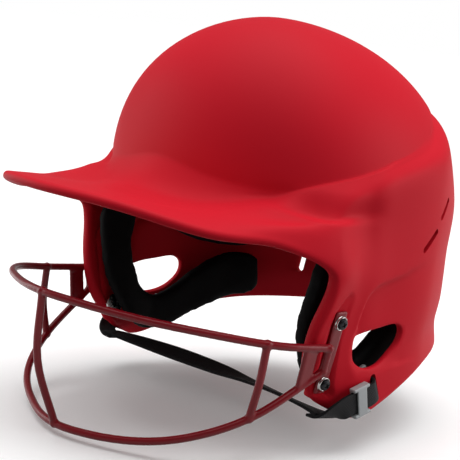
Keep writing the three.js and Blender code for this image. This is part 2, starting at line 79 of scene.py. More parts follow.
# a smooth curve through points, at t points from its start; before and after give its end slopes
def smoothPoint(points, t, before=None, after=None):
    last = len(points) - 1
    k = min(int(t), last - 1)
    head = before if before is not None else points[0] * 2 - points[1]
    tail = after if after is not None else points[last] * 2 - points[last - 1]
    run = [head, *points, tail]
    u = t - k
    leave = (run[k + 2] - run[k]) * 0.5
    arrive = (run[k + 3] - run[k + 1]) * 0.5
    rise = 3 * u * u - 2 * u ** 3
    return (
        run[k + 1] * (1 - rise)
        + run[k + 2] * rise
        + leave * (u ** 3 - 2 * u * u + u)
        + arrive * (u ** 3 - u * u)
    )


# materials: a grain and a weave, placed in each finish with its own values
def setInputs(node, values):
    for socket, value in values.items():
        node.inputs[socket].default_value = value


def newGroup(name, inputs, outputs):
    group = bpy.data.node_groups.new(name, "ShaderNodeTree")
    for label, kind, value in inputs:
        socket = group.interface.new_socket(label, in_out="INPUT", socket_type=kind)
        socket.default_value = value
    for label, kind in outputs:
        group.interface.new_socket(label, in_out="OUTPUT", socket_type=kind)
    return group, group.nodes.new("NodeGroupInput"), group.nodes.new("NodeGroupOutput")


def addMath(group, operation, *terms):
    node = group.nodes.new("ShaderNodeMath")
    node.operation = operation
    for socket, term in zip(node.inputs, terms):
        if isinstance(term, (int, float)):
            socket.default_value = term
        else:
            group.links.new(term, socket)
    return node.outputs[0]


groupOutputs = [
    ("Color", "NodeSocketColor"), ("Roughness", "NodeSocketFloat"), ("Height", "NodeSocketFloat"),
]


# fine moulded or sprayed grain: a colour that drifts a little, a roughness mask and a height
def buildGrain():
    group, into, out = newGroup(
        "surfaceGrain",
        [("Color", "NodeSocketColor", (0.5, 0.5, 0.5, 1)),
         ("Fine Scale", "NodeSocketFloat", 1400.0), ("Broad Scale", "NodeSocketFloat", 18.0),
         ("Drift", "NodeSocketFloat", 0.06),
         ("Rough Low", "NodeSocketFloat", 0.45), ("Rough High", "NodeSocketFloat", 0.6)],
        groupOutputs,
    )
    nodes, link = group.nodes, group.links.new
    coord = nodes.new("ShaderNodeTexCoord")
    fine, broad = nodes.new("ShaderNodeTexNoise"), nodes.new("ShaderNodeTexNoise")
    for noise, detail, scale in ((fine, 3, "Fine Scale"), (broad, 2, "Broad Scale")):
        noise.inputs["Detail"].default_value = detail
        link(coord.outputs["Object"], noise.inputs["Vector"])
        link(into.outputs[scale], noise.inputs["Scale"])
    centred = addMath(group, "SUBTRACT", broad.outputs["Fac"], 0.5)
    amount = addMath(group, "MULTIPLY_ADD", centred, into.outputs["Drift"], 1.0)
    tint = nodes.new("ShaderNodeHueSaturation")
    link(into.outputs["Color"], tint.inputs["Color"])
    link(amount, tint.inputs["Value"])
    link(tint.outputs["Color"], out.inputs["Color"])
    spread = nodes.new("ShaderNodeMapRange")
    link(fine.outputs["Fac"], spread.inputs["Value"])
    link(into.outputs["Rough Low"], spread.inputs["To Min"])
    link(into.outputs["Rough High"], spread.inputs["To Max"])
    link(spread.outputs[0], out.inputs["Roughness"])
    link(fine.outputs["Fac"], out.inputs["Height"])
    return group


weave = {"stagger": 0.5, "pick": 0.6, "rib": 0.4, "range": 0.9, "gapShade": 0.55, "dullest": 0.95}


# plain weave along the piece's own UV: u runs across the band, v along it, both in millimetres; its
# colour is painted darker in the gaps between threads and lighter on their crowns, painted shade and
# painted highlight
def buildWeave():
    group, into, out = newGroup(
        "webWeaveShade",
        [("Color", "NodeSocketColor", (0.01, 0.01, 0.01, 1)), ("Thread", "NodeSocketFloat", 0.8),
         ("Shine", "NodeSocketFloat", 0.6)],
        groupOutputs,
    )
    nodes, link = group.nodes, group.links.new
    uv = nodes.new("ShaderNodeUVMap")
    uv.uv_map = "band"
    parts = nodes.new("ShaderNodeSeparateXYZ")
    link(uv.outputs["UV"], parts.inputs[0])

    def calc(*terms):
        return addMath(group, *terms)

    across = calc("DIVIDE", parts.outputs["X"], into.outputs["Thread"])
    along = calc("DIVIDE", parts.outputs["Y"], into.outputs["Thread"])
    ribs = calc("ABSOLUTE", calc("SINE", calc("MULTIPLY", across, math.pi)))
    slant = calc("ADD", along, calc("MULTIPLY", calc("FLOOR", across), weave["stagger"]))
    picks = calc("ABSOLUTE", calc("SINE", calc("MULTIPLY", slant, math.pi)))
    pick = calc("ADD", calc("MULTIPLY", picks, weave["pick"]), weave["rib"])
    height = calc("MULTIPLY", ribs, pick)
    # painted shade in the gaps between threads and painted highlight on their crowns: the colour's
    # value follows the thread height
    shade = nodes.new("ShaderNodeHueSaturation")
    link(into.outputs["Color"], shade.inputs["Color"])
    value = calc("ADD", calc("MULTIPLY", height, weave["range"]), weave["gapShade"])
    link(value, shade.inputs["Value"])
    link(shade.outputs["Color"], out.inputs["Color"])
    shine = calc("MULTIPLY", height, calc("SUBTRACT", 1.0, into.outputs["Shine"]))
    link(calc("SUBTRACT", weave["dullest"], shine), out.inputs["Roughness"])
    link(height, out.inputs["Height"])
    return group


grainGroup = buildGrain()
weaveGroup = buildWeave()


def newMaterial(name, look, group, values, bumpStrength, bumpDistance):
    material = bpy.data.materials.new(name)
    material.use_nodes = True
    nodes, link = material.node_tree.nodes, material.node_tree.links.new
    shader = nodes["Principled BSDF"]
    setInputs(shader, look)
    effect = nodes.new("ShaderNodeGroup")
    effect.node_tree = group
    setInputs(effect, values)
    link(effect.outputs["Color"], shader.inputs["Base Color"])
    link(effect.outputs["Roughness"], shader.inputs["Roughness"])
    bump = nodes.new("ShaderNodeBump")
    setInputs(bump, {"Strength": bumpStrength, "Distance": bumpDistance})
    link(effect.outputs["Height"], bump.inputs["Height"])
    link(bump.outputs["Normal"], shader.inputs["Normal"])
    return material


matteRed = newMaterial(
    "matteRed", {"Specular IOR Level": 0.08}, grainGroup,
    {"Color": (0.60, 0.009, 0.022, 1), "Fine Scale": 1600, "Broad Scale": 14, "Drift": 0.05,
     "Rough Low": 0.5, "Rough High": 0.62}, 0.25, 0.00012)
guardRed = newMaterial(
    "guardRed",
    {"Coat Weight": 0.12, "Coat Roughness": 0.15, "Specular IOR Level": 0.2}, grainGroup,
    {"Color": (0.22, 0.003, 0.009, 1), "Fine Scale": 700, "Broad Scale": 60, "Drift": 0.12,
     "Rough Low": 0.24, "Rough High": 0.4}, 0.2, 0.0002)
blackFoam = newMaterial(
    "blackFoam", {"Specular IOR Level": 0.08}, grainGroup,
    {"Color": (0.0018, 0.0018, 0.002, 1), "Fine Scale": 2200, "Broad Scale": 40, "Drift": 0.2,
     "Rough Low": 0.62, "Rough High": 0.85}, 0.45, 0.0002)
blackWeb = newMaterial(
    "blackWeb",
    {"Specular IOR Level": 0.2, "Sheen Weight": 0.03, "Sheen Roughness": 0.4}, weaveGroup,
    {"Color": (0.005, 0.005, 0.006, 1), "Thread": 1.1, "Shine": 0.55}, 0.6, 0.0003)
darkScrew = newMaterial(
    "darkScrew", {"Metallic": 0.85}, grainGroup,
    {"Color": (0.016, 0.016, 0.018, 1), "Fine Scale": 1500, "Broad Scale": 200, "Drift": 0.3,
     "Rough Low": 0.28, "Rough High": 0.45}, 0.15, 0.00005)
brightNickel = newMaterial(
    "brightNickel", {"Metallic": 1.0}, grainGroup,
    {"Color": (0.42, 0.41, 0.40, 1), "Fine Scale": 1200, "Broad Scale": 250, "Drift": 0.2,
     "Rough Low": 0.16, "Rough High": 0.3}, 0.1, 0.00005)
greyBuckle = newMaterial(
    "greyBuckle", {"Coat Weight": 0.3, "Coat Roughness": 0.2}, grainGroup,
    {"Color": (0.34, 0.36, 0.37, 1), "Fine Scale": 1300, "Broad Scale": 120, "Drift": 0.1,
     "Rough Low": 0.3, "Rough High": 0.42}, 0.15, 0.00008)
print("materials built")


def newObject(name, data):
    made = bpy.data.objects.new(name, data)
    bpy.context.scene.collection.objects.link(made)
    return made


# every piece ends here: material, shading, nodes and body
def finishPiece(name, mesh, material, nodes, smoothAngle, body="helmet"):
    piece = newObject(name, mesh)
    mesh.materials.clear()
    mesh.materials.append(material)
    mesh.shade_smooth()
    mesh.set_sharp_from_angle(angle=math.radians(smoothAngle))
    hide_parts(*nodes)
    if body:
        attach(piece, body)
    return piece


def toMesh(name, bm, placed=False):
    if not placed:
        bmesh.ops.translate(bm, verts=bm.verts, vec=(0, 0, -seatHeight))
        bmesh.ops.scale(bm, verts=bm.verts, vec=(mm, mm, mm))
    mesh = bpy.data.meshes.new(name)
    bm.to_mesh(mesh)
    bm.free()
    return mesh


def scratchObject(mesh):
    return newObject("scratch", mesh)


# the mesh that an object's modifiers make, with the object taken away
def bakedMesh(holder):
    bpy.context.view_layer.update()
    graph = bpy.context.evaluated_depsgraph_get()
    mesh = bpy.data.meshes.new_from_object(holder.evaluated_get(graph))
    bpy.data.objects.remove(holder)
    return mesh


def addVoxels(holder, size):
    remesh = holder.modifiers.new("join", "REMESH")
    remesh.mode = "VOXEL"
    remesh.voxel_size = size * mm


def eased(bm, verts, factor):
    bmesh.ops.smooth_vert(
        bm, verts=verts, factor=factor, use_axis_x=True, use_axis_y=True, use_axis_z=True)


# the mesh of one object with another cut out of it; both objects are taken away
def cutBy(holder, cutter):
    cut = holder.modifiers.new("cut", "BOOLEAN")
    cut.operation = "DIFFERENCE"
    cut.solver = "MANIFOLD"
    cut.object = cutter
    mesh = bakedMesh(holder)
    bpy.data.objects.remove(cutter)
    return mesh


# the moulded shell; each row runs from the front round to the rear, a point at each angle
shell = {
    "halfWidth": 96, "frontLength": 88, "rearLength": 128, "middle": 15, "top": 207.3, "waist": 103,
    "lean": -8.4, "crown": 2.4, "shoulder": 1.85,
    "wall": 4.2, "brimEdge": 5.2, "flapLip": 7.6,
    "columnsPerSpan": 16, "domeRows": 28, "upperRows": (7, 12, 9, 9), "lowerRows": (11, 13, 13, 13),
    "bead": 2.6, "earBead": 0.9, "earRegion": ((-14, 40), (18, 52)), "beadSteps": 6,
    "sideFrom": 60,  # the skin further out than this is a side
    "lastShare": 0.981,  # how near the crease the dome's last slope is taken
}
angles = [0, 22, 42, 58, 68, 78, 90, 115, 147, 180]
creaseHeights = [127, 121, 118, 122.5, 126.5, 130.5, 137, 150, 168, 174]
footSteps = [
    (12, 15), (10, 12.5), (4.5, 5.5), (2.5, 2), (2.5, 2),
    (2.5, 2), (2.5, 2.5), (2.5, 4), (1.5, 5), (1.5, 5),
]
brow = [
    (0, -104, 110), (42, -98, 106.5), (73, -76, 107.5), (90, -51.5, 107), (98.5, -30, 114),
    (99.5, -12, 119.5), (101, 9, 125), (90, 63, 137), (48.5, 107.5, 152), (0, 125.5, 156),
]
skirt = [
    (0, -130, 112), (45, -119, 109.5), (77.5, -92, 104.5), (94.5, -62, 103.5), (104, -36, 102.5),
    (100.5, -13, 102), (100.5, 8, 103), (92, 64, 108), (56, 117, 112), (0, 138, 114),
]
rim = [
    (0, -151, 113.5), (47, -138, 111), (80, -106.6, 102), (95.6, -71.3, 97), (109, -39, 85),
    (103.5, -14, 81), (101, 9, 80), (92, 63, 80), (56, 116, 80), (0, 137, 80),
]
temple = 4  # the rows below start at this angle
jaw = [
    (108.3, -36.3, 71), (102.5, -14, 66), (101, 9, 62), (92, 63, 63), (56, 116, 65), (0, 137, 66),
]
cheek = [
    (101.5, -40, 48), (100, -15, 46), (100.5, 9, 43), (91, 63, 48), (56, 116, 52), (0, 137, 54),
]
chin = [(96, -38, 28), (98, -14, 24), (99, 9, 21), (90, 62, 33), (55.5, 114, 38), (0, 135.5, 42)]
hem = [(88, -30, 10), (95.5, -12, 2), (98, 9, -1), (90, 63, 18), (57, 115, 24), (0, 136, 27)]


def domePoint(degrees, height):
    angle = math.radians(degrees)
    rise = (height - shell["waist"]) / (shell["top"] - shell["waist"])
    scale = (1 - min(1, max(0, rise)) ** shell["crown"]) ** (1 / shell["shoulder"])
    mean = (shell["frontLength"] + shell["rearLength"]) / 2
    reach = mean + (shell["frontLength"] - shell["rearLength"]) / 2 * math.cos(angle)
    return Vector((
        shell["halfWidth"] * math.sin(angle) * scale,
        shell["middle"] - reach * math.cos(angle) * scale + shell["lean"] * rise,
        height,
    ))


def domeHeight(scale):
    closed = (1 - scale ** shell["shoulder"]) ** (1 / shell["crown"])
    return shell["waist"] + (shell["top"] - shell["waist"]) * closed


def mirrored(point):
    return Vector((-point.x, point.y, point.z))


def rowPoint(row, t):
    points = [Vector(p) for p in row]
    whole = len(points) == len(angles)
    before = mirrored(points[1]) if whole else None
    return smoothPoint(points, t if whole else t - temple, before, mirrored(points[-2]))


def footPoint(k):
    degrees, height = angles[k], creaseHeights[k]
    point = domePoint(degrees, height)
    along = (domePoint(degrees + 1, height) - domePoint(degrees - 1, height)).normalized()
    out, drop = footSteps[k]
    return (point.x + along.y * out, point.y - along.x * out, point.z - drop)


foot = [footPoint(k) for k in range(len(angles))]


# what one column of the shell needs: its angle, crease and the points below
def skinColumn(t):
    k = min(int(t), len(angles) - 2)
    degrees = angles[k] + (angles[k + 1] - angles[k]) * (t - k)
    crease = rowPoint([(0, 0, h) for h in creaseHeights], t).z
    rise = (crease - shell["waist"]) / (shell["top"] - shell["waist"])
    scale = (1 - rise ** shell["crown"]) ** (1 / shell["shoulder"])
    upper = [domePoint(degrees, crease), *[rowPoint(row, t) for row in (foot, brow, skirt, rim)]]
    column = {
        "degrees": degrees, "scale": scale, "upper": upper,
        "before": domePoint(degrees, domeHeight(scale * shell["lastShare"])),
    }
    if t >= temple:
        column["lower"] = [upper[-1], *[rowPoint(row, t) for row in (jaw, cheek, chin, hem)]]
    return column


# rows are shared out over the spans between the named rows
def spanPlace(row, rowsPerSpan):
    for k, count in enumerate(rowsPerSpan):
        if row <= count or k == len(rowsPerSpan) - 1:
            return k + row / count
        row -= count


def upperPoint(column, row):
    if row <= shell["domeRows"]:
        share = column["scale"] * math.sin(row / shell["domeRows"] * math.pi / 2)
        if row == shell["domeRows"]:
            return column["upper"][0].copy()
        return domePoint(column["degrees"], domeHeight(share))
    after = column["lower"][1] if "lower" in column else None
    place = spanPlace(row - shell["domeRows"], shell["upperRows"])
    return smoothPoint(column["upper"], place, column["before"], after)


def lowerPoint(column, row):
    return smoothPoint(column["lower"], spanPlace(row, shell["lowerRows"]), column["upper"][3])


# a grid moved onto the skin; stations run from one side round to the other
def skinGrid(bm, firstStation, lastStation, rows, pointOf):
    columns = round((lastStation - firstStation) * shell["columnsPerSpan"])
    made = bmesh.ops.create_grid(bm, x_segments=columns, y_segments=rows, size=0.5)
    whole = 2 * (len(angles) - 1)
    cache = {}
    for v in made["verts"]:
        j = round((v.co.x + 0.5) * columns)
        row = round((v.co.y + 0.5) * rows)
        station = firstStation + j / shell["columnsPerSpan"]
        t = min(station, whole - station)
        if t not in cache:
            cache[t] = skinColumn(t)
        point = pointOf(cache[t], row)
        v.co = point if station <= whole / 2 else mirrored(point)
    return made["verts"]


# the point of one stretch of an outline nearest to a place in the side view, with its gap
def footOn(y, z, start, end):
    (ay, az), (by, bz) = start, end
    dy, dz = by - ay, bz - az
    u = min(1, max(0, ((y - ay) * dy + (z - az) * dz) / (dy * dy + dz * dz)))
    qy, qz = ay + dy * u, az + dz * u
    return math.hypot(y - qy, z - qz), qy, qz, dy * (z - qz) - dz * (y - qy)


# signed distance from a place to an open outline in the side view
def outlineDistance(y, z, outline):
    feet = [footOn(y, z, start, end) for start, end in zip(outline, outline[1:])]
    gap, _, _, side = min(feet, key=lambda foot: foot[0])
    return gap if side >= 0 else -gap


def smoothOutline(points, perSpan, closed=True):
    count = len(points)
    vectors = [Vector(p) for p in points]
    made = []
    for k in range(count if closed else count - 1):
        places = range(k - 1, k + 3)
        four = [vectors[n % count if closed else min(max(n, 0), count - 1)] for n in places]
        for n in range(perSpan):
            made.append(tuple(smoothPoint(four[1:3], n / perSpan, four[0], four[3])))
    if not closed:
        made.append(tuple(vectors[-1]))
    return made


# edge and wall say where the press starts and is full, from the outline inwards
details = {
    "earScoop": {
        "outline": [
            (30, 76), (14, 73), (3, 71), (-5, 65), (-9, 53),
            (-10.5, 41), (-9.5, 31), (-4, 24.5), (6, 23), (30, 23),
        ],
        "y": (-16, 62), "z": (18, 84), "depth": 3.0, "edge": -0.4, "wall": 2.6, "fade": (-2, 62),
    },
    "guardRecess": {
        "outline": [
            (-17, 66), (-19.5, 58), (-21, 46), (-21.3, 36), (-21, 26), (-19.5, 17),
            (-17, 11), (-22, 8.5), (-29, 9.5), (-31.6, 14), (-32.2, 26), (-32.2, 46),
            (-31.5, 58), (-27, 66), (-22, 69), (-17, 66),
        ],
        "y": (-36, -12), "z": (4, 74), "depth": 1.6, "edge": -0.5, "wall": 1.3,
    },
    "ledgeScoop": {
        "lower": [(-64, 110.5), (-54, 107.5), (-42, 106), (-27, 105.3), (-10, 105), (14, 104.5)],
        "y": (-66, 40), "z": (98, 130), "depth": 3.8, "edge": -0.6, "wall": 4.5,
        "ease": (3, 16), "rise": (-64, -40), "fade": (-36, 12),
    },
}
mount = {"x": 98.4, "y": -26.4, "z": 36, "tilt": math.radians(11.5)}
mountOut = Vector((math.cos(mount["tilt"]), 0, -math.sin(mount["tilt"])))
mountUp = Vector((math.sin(mount["tilt"]), 0, math.cos(mount["tilt"])))
mountMiddle = Vector((mount["x"], mount["y"], mount["z"]))


# how far the skin at a point is pressed in, along its normal
def pressedIn(point):
    y, z = point.y, point.z
    depth = 0
    scoop = details["earScoop"]
    if within(y, scoop["y"]) and within(z, scoop["z"]):
        inside = outlineDistance(y, z, scoopOutline)
        fade = 1 - smooth(*scoop["fade"], y)
        depth += scoop["depth"] * smooth(scoop["edge"], scoop["wall"], inside) * fade
    ledge = details["ledgeScoop"]
    if within(y, ledge["y"]) and within(z, ledge["z"]):
        above = outlineDistance(y, z, ledgeOutline)
        fade = smooth(*ledge["rise"], y) * (1 - smooth(*ledge["fade"], y))
        press = ledge["depth"] * smooth(ledge["edge"], ledge["wall"], above)
        depth += press * (1 - smooth(*ledge["ease"], above)) * fade
    return depth


scoopOutline = smoothOutline(details["earScoop"]["outline"], 4, closed=False)
recessOutline = smoothOutline(details["guardRecess"]["outline"], 3, closed=False)
ledgeOutline = smoothOutline(details["ledgeScoop"]["lower"], 4, closed=False)


def insideOutline(y, z, outline):
    crossings = 0
    for (ay, az), (by, bz) in zip(outline, outline[1:] + outline[:1]):
        if (az > z) != (bz > z) and y < ay + (z - az) / (bz - az) * (by - ay):
            crossings += 1
    return crossings % 2 == 1


def buildSkin():
    bm = bmesh.new()
    whole = 2 * (len(angles) - 1)
    upperRows = shell["domeRows"] + sum(shell["upperRows"])
    skinGrid(bm, 0, whole, upperRows, upperPoint)
    skinGrid(bm, temple, whole - temple, sum(shell["lowerRows"]), lowerPoint)
    bmesh.ops.remove_doubles(bm, verts=bm.verts, dist=0.02)
    bmesh.ops.recalc_face_normals(bm, faces=bm.faces)
    top = max(bm.faces, key=lambda f: f.calc_center_median().z)
    if top.normal.z < 0:
        bmesh.ops.reverse_faces(bm, faces=bm.faces)
    bm.normal_update()
    recess = details["guardRecess"]
    moves = []
    for v in bm.verts:
        point = Vector((abs(v.co.x), v.co.y, v.co.z))
        atSide = point.x > shell["sideFrom"]
        target = v.co - v.normal * pressedIn(point) if atSide else v.co.copy()
        if atSide and within(point.y, recess["y"]) and within(point.z, recess["z"]):
            gap = abs(outlineDistance(point.y, point.z, recessOutline))
            inside = gap if insideOutline(point.y, point.z, recessOutline) else -gap
            press = smooth(recess["edge"], recess["wall"], inside)
            here = Vector((abs(target.x), target.y, target.z))
            height = (here - mountMiddle).dot(mountOut)
            here -= mountOut * (height + recess["depth"]) * press
            target = here if v.co.x > 0 else mirrored(here)
        moves.append((v, target))
    for v, target in moves:
        v.co = target
    roundCorners(bm)
    bm.normal_update()
    openHole(bm, smoothOutline(holes["ear"], 8))
    return bm


corner = {"x": (70, math.inf), "y": (-62, -30), "z": (60, 98), "rounds": 36, "spread": 4, "ease": 0.5}


# the brim runs into the front of each flap in one round sweep
def roundCorners(bm):
    edge = [
        v for v in bm.verts
        if v.is_boundary and within(abs(v.co.x), corner["x"])
        and within(v.co.y, corner["y"]) and within(v.co.z, corner["z"])
    ]
    beside = {v: [e.other_vert(v) for e in v.link_edges if e.is_boundary] for v in edge}
    near = {w for v in edge for e in v.link_edges for w in e.verts if not w.is_boundary}
    for _ in range(corner["rounds"]):
        places = {v: (v.co + (a.co + b.co) / 2) / 2 for v, (a, b) in beside.items()}
        for v, place in places.items():
            v.co = place
    for _ in range(corner["spread"]):
        near |= {w for v in near for e in v.link_edges for w in e.verts if not w.is_boundary}
        eased(bm, list(near), corner["ease"])


# the nearest point of a closed outline in the side view
def nearestOn(outline, y, z):
    spans = zip(outline, outline[1:] + outline[:1])
    feet = [footOn(y, z, start, end) for start, end in spans]
    return min(feet, key=lambda foot: foot[0])[1:3]


holeEdge = {"spread": 2, "rounds": 8, "pull": 0.5, "ease": 0.4}


# opens a hole in the skin on both sides and draws its edge onto the outline
def openHole(bm, outline):
    gone = [
        f for f in bm.faces
        if abs(f.calc_center_median().x) > shell["sideFrom"]
        and insideOutline(f.calc_center_median().y, f.calc_center_median().z, outline)
    ]
    leaving = set(gone)
    edge = {v for f in gone for v in f.verts if any(g not in leaving for g in v.link_faces)}
    bmesh.ops.delete(bm, geom=gone, context="FACES")
    beside = {v: [e.other_vert(v) for e in v.link_edges if e.is_boundary] for v in edge}
    near = {w for v in edge for e in v.link_edges for w in e.verts} - edge
    for _ in range(holeEdge["spread"]):
        near |= {w for v in near for e in v.link_edges for w in e.verts} - edge
    normals = {v: v.normal.copy() for v in edge}
    for _ in range(holeEdge["rounds"]):
        places = {v: sum((w.co for w in beside[v]), Vector()) / len(beside[v]) for v in edge}
        for v in edge:
            v.co = v.co.lerp(places[v], holeEdge["pull"])
            y, z = nearestOn(outline, v.co.y, v.co.z)
            dy, dz = y - v.co.y, z - v.co.z
            n = normals[v]
            v.co += Vector((-(n.y * dy + n.z * dz) / n.x, dy, dz))
        eased(bm, list(near), holeEdge["ease"])


thickening = {"lip": (22, 38), "lipTop": 92, "lipFade": 14, "brim": (95, 125), "brimSide": (40, 70)}


def thicknessAt(point):
    t = thickening
    lip = smooth(*t["lip"], -point.y) * smooth(0, t["lipFade"], t["lipTop"] - point.z)
    span = t["brim"] if abs(point.x) < shell["sideFrom"] else t["brimSide"]
    base = shell["wall"] + (shell["brimEdge"] - shell["wall"]) * smooth(*span, -point.y)
    return base + (shell["flapLip"] - base) * lip


# holes through the shell: an outline, or (length, width, middle, degrees) for a slot
holes = {
    "ear": [
        (-9, 41), (-3, 44.5), (12, 46.5), (27, 47.5), (34.5, 43),
        (33.5, 35), (25, 28), (12, 23.5), (0, 24.5), (-8, 31),
    ],
    "vents": [(19, 3.6, (50.5, 92.5), 38), (17, 3.6, (67, 109.5), 42)],
    "nape": (15, 5, (56, 47), 90),
    "strap": (17, 5, (13.5, 12.5), 117),
    # where each cutter starts and ends
    "reach": {"vents": (60, 130), "strap": (80, 130), "nape": (80, 160)},
}


def roundedSlot(length, width, middle, degrees, steps=8):
    r = width / 2
    turn = math.radians(degrees)
    points = []
    for end in (1, -1):
        for k in range(steps + 1):
            a = turn + (k / steps - 0.5) * math.pi + (0 if end > 0 else math.pi)
            points.append((
                middle[0] + end * (length / 2 - r) * math.cos(turn) + r * math.cos(a),
                middle[1] + end * (length / 2 - r) * math.sin(turn) + r * math.sin(a),
            ))
    return points


# a prism through an outline; place turns an outline point and a depth into space
def prism(bm, outline, near, far, place):
    lower = [bm.verts.new(place(a, b, near)) for a, b in outline]
    face = bm.faces.new(lower)
    made = bmesh.ops.extrude_face_region(bm, geom=[face])
    moved = [g for g in made["geom"] if isinstance(g, bmesh.types.BMVert)]
    shift = Vector(place(0, 0, far)) - Vector(place(0, 0, near))
    bmesh.ops.translate(bm, verts=moved, vec=shift)


def buildCutter():
    bm = bmesh.new()
    reach = holes["reach"]
    for _, side in sides:
        def fromSide(a, b, depth, side=side):
            return (side * depth, a, b)

        def fromBehind(a, b, depth, side=side):
            return (side * a, depth, b)

        for length, width, middle, degrees in holes["vents"]:
            prism(bm, roundedSlot(length, width, middle, degrees), *reach["vents"], fromSide)
        prism(bm, roundedSlot(*holes["strap"]), *reach["strap"], fromSide)
        prism(bm, roundedSlot(*holes["nape"]), *reach["nape"], fromBehind)
    bmesh.ops.recalc_face_normals(bm, faces=bm.faces)
    return toMesh("cutter", bm)


# gives the skin its wall: an inner copy, and a half-round bead along every free edge
def thickenSkin(bm):
    bm.normal_update()
    outer = list(bm.verts)
    normals = [v.normal.copy() for v in outer]
    depths = [thicknessAt(v.co) for v in outer]
    leaning = []
    for v, n in zip(outer, normals):
        if v.is_boundary:
            a, b = [e.other_vert(v) for e in v.link_edges if e.is_boundary][:2]
            inward = sum((f.calc_center_median() - v.co for f in v.link_faces), Vector())
            away = n.cross(a.co - b.co)
            leaning.append(away.normalized() if away.dot(inward) < 0 else -away.normalized())
        else:
            leaning.append(None)
    index = {v: k for k, v in enumerate(outer)}
    ring = {v: v for v in outer if v.is_boundary}
    edges = [e for e in bm.edges if e.is_boundary]
    pairs = [tuple(e.verts) for e in edges]
    made = bmesh.ops.duplicate(bm, geom=list(bm.faces) + list(bm.edges) + outer)
    inner = {v: made["vert_map"][v] for v in outer}
    inside = [g for g in made["geom"] if isinstance(g, bmesh.types.BMFace)]
    bmesh.ops.reverse_faces(bm, faces=inside)
    for v, n, d in zip(outer, normals, depths):
        inner[v].co = v.co - n * d
    steps = shell["beadSteps"]
    earY, earZ = shell["earRegion"]
    for k in range(1, steps + 1):
        turn = math.pi * k / steps
        following = {}
        for v in ring:
            j = index[v]
            if k == steps:
                following[v] = inner[v]
                continue
            half = depths[j] / 2
            atEar = within(v.co.z, earZ) and within(v.co.y, earY)
            bulge = shell["earBead"] if atEar else min(half, shell["bead"])
            spot = v.co - normals[j] * half * (1 - math.cos(turn))
            following[v] = bm.verts.new(spot + leaning[j] * bulge * math.sin(turn))
        for a, b in pairs:
            bm.faces.new((ring[a], ring[b], following[b], following[a]))
        ring = following
    bmesh.ops.recalc_face_normals(bm, faces=bm.faces)


def buildShell():
    bm = buildSkin()
    thickenSkin(bm)
    holder = scratchObject(toMesh("shellSkin", bm))
    mesh = cutBy(holder, scratchObject(buildCutter()))
    finishPiece("mouldedShell", mesh, matteRed, ["shell"], smoothAngle=60)


buildShell()
print("shell built")


# the face guard, one welded frame with its side and mounting plates
guard = {
    "wire": 4.4, "voxel": 0.62,
    "upper": [
        (103.6, -34, 40.5), (97.6, -67, 43.6), (80, -103.5, 49.5),
        (50, -126.6, 52.5), (0, -143.3, 55.3),
    ],
    "lower": [
        (101, -34, 27.4), (90.5, -70.7, 5), (70, -98, -9), (40, -116, -16.5), (0, -128.3, -18),
    ],
    "cheekY": -72, "plateY": -45, "plateWidth": 10, "plateThickness": 2.6, "centreBow": -7,
    "plateOverrun": 1, "cheekBow": (2, -1, 0), "weldShare": 0.62, "relaxRounds": 4,
    "mountWidth": 8.6, "mountLength": 48, "mountThickness": 2.0, "mountSink": 0.25,
}


def barPoints(path, perSpan=14):
    left = [Vector(p) for p in path]
    run = left + [mirrored(p) for p in reversed(left[:-1])]
    return [smoothPoint(run, k / perSpan) for k in range((len(run) - 1) * perSpan + 1)]


def tubeMesh(points, diameter):
    curve = bpy.data.curves.new("tube", "CURVE")
    curve.dimensions = "3D"
    curve.bevel_depth = diameter / 2
    curve.bevel_resolution = 6
    curve.use_fill_caps = True
    spline = curve.splines.new("POLY")
    spline.points.add(len(points) - 1)
    for target, point in zip(spline.points, points):
        target.co = (*point, 1)
    return bakedMesh(newObject("tube", curve))


def bent(start, middle, end, steps=12):
    run = [Vector(start), Vector(middle), Vector(end)]
    return [smoothPoint(run, 2 * k / steps) for k in range(steps + 1)]


def nearestInY(points, y):
    return min((p for p in points if p.x > 0), key=lambda p: abs(p.y - y)).copy()


def addBlock(bm, size, turn, middle, rounding=0.9):
    made = bmesh.ops.create_cube(bm, size=1)
    bmesh.ops.scale(bm, vec=size, verts=made["verts"])
    edges = list({e for v in made["verts"] for e in v.link_edges})
    shaped = bmesh.ops.bevel(
        bm, geom=edges, offset=rounding, segments=3, affect="EDGES", profile=0.5, material=-1)
    kept = {v for v in made["verts"] if v.is_valid}
    verts = list({v for f in shaped["faces"] for v in f.verts} | kept)
    bmesh.ops.transform(bm, matrix=Matrix.Translation(middle) @ turn, verts=verts)


